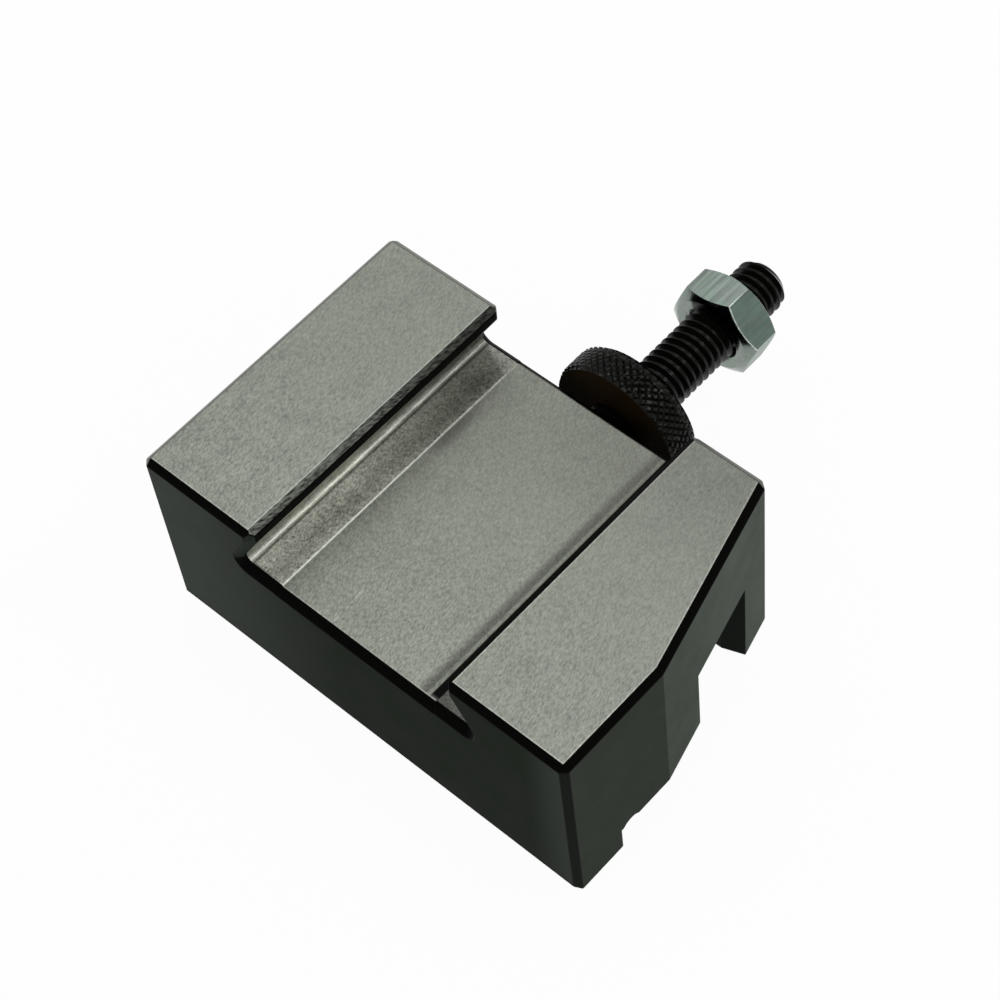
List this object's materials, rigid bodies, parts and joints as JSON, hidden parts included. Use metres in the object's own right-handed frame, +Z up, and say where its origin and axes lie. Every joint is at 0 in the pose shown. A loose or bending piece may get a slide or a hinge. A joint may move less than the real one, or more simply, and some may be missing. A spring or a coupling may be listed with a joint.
{
  "type": "parting tool holder",
  "caption": "Quick-change lathe holder for a parting blade: dovetail block with a blade clamp, a threaded height stud, a knurled height nut and a hexagon lock nut.",
  "frame": {"origin": "under the middle of the whole part, in the plane of the open blade side that it lies on", "axes": "+X along the blade towards the bevelled cutting end, +Y along the height stud towards its free end, +Z up to the ground dovetail face"},
  "size_m": [0.07, 0.0802, 0.0305],
  "materials": {
    "black_oxide_steel": "black oxide sides, chamfers and blade side; bright ground dovetail face and slot",
    "black_stud_steel": "black oxide over a cut thread",
    "black_nut_steel": "black oxide over a diamond knurl",
    "zinc_plated_steel": "bright zinc plate",
    "black_clamp_steel": "milled and black oxide",
    "black_screw_steel": "black oxide"
  },
  "bodies": {
    "holder": {"holder_body": "black_oxide_steel", "height_stud": "black_stud_steel"},
    "height_nut": {"knurled_height_nut": "black_nut_steel"},
    "lock_nut": {"lock_nut": "zinc_plated_steel"},
    "clamp": {"blade_clamp": "black_clamp_steel"},
    "left_screw": {"clamp_screw_left": "black_screw_steel"},
    "right_screw": {"clamp_screw_right": "black_screw_steel"}
  },
  "joints": [
    {"name": "height_nut_turn", "type": "hinge", "parent": "holder", "child": "height_nut", "pos_m": [0, 0.01112, 0.0145], "axis": [0, 1, 0], "continuous": true},
    {"name": "lock_nut_turn", "type": "hinge", "parent": "holder", "child": "lock_nut", "pos_m": [0, 0.0311, 0.0145], "axis": [0, 1, 0], "continuous": true},
    {"name": "clamp_lift", "type": "slide", "parent": "holder", "child": "clamp", "axis": [0, 0, 1], "range_m": [0, 0.0024]},
    {"name": "left_screw_turn", "type": "hinge", "parent": "clamp", "child": "left_screw", "pos_m": [-0.012, -0.0079, 0.0056], "axis": [0, 0, 1], "range_deg": [0, 1080.5]},
    {"name": "right_screw_turn", "type": "hinge", "parent": "clamp", "child": "right_screw", "pos_m": [0.012, -0.0079, 0.0056], "axis": [0, 0, 1], "range_deg": [0, 1080.5]}
  ],
  "couplings": [
    {"joint": "left_screw_turn", "follows": "clamp_lift", "rad_per_m": 7854},
    {"joint": "right_screw_turn", "follows": "clamp_lift", "rad_per_m": 7854}
  ]
}
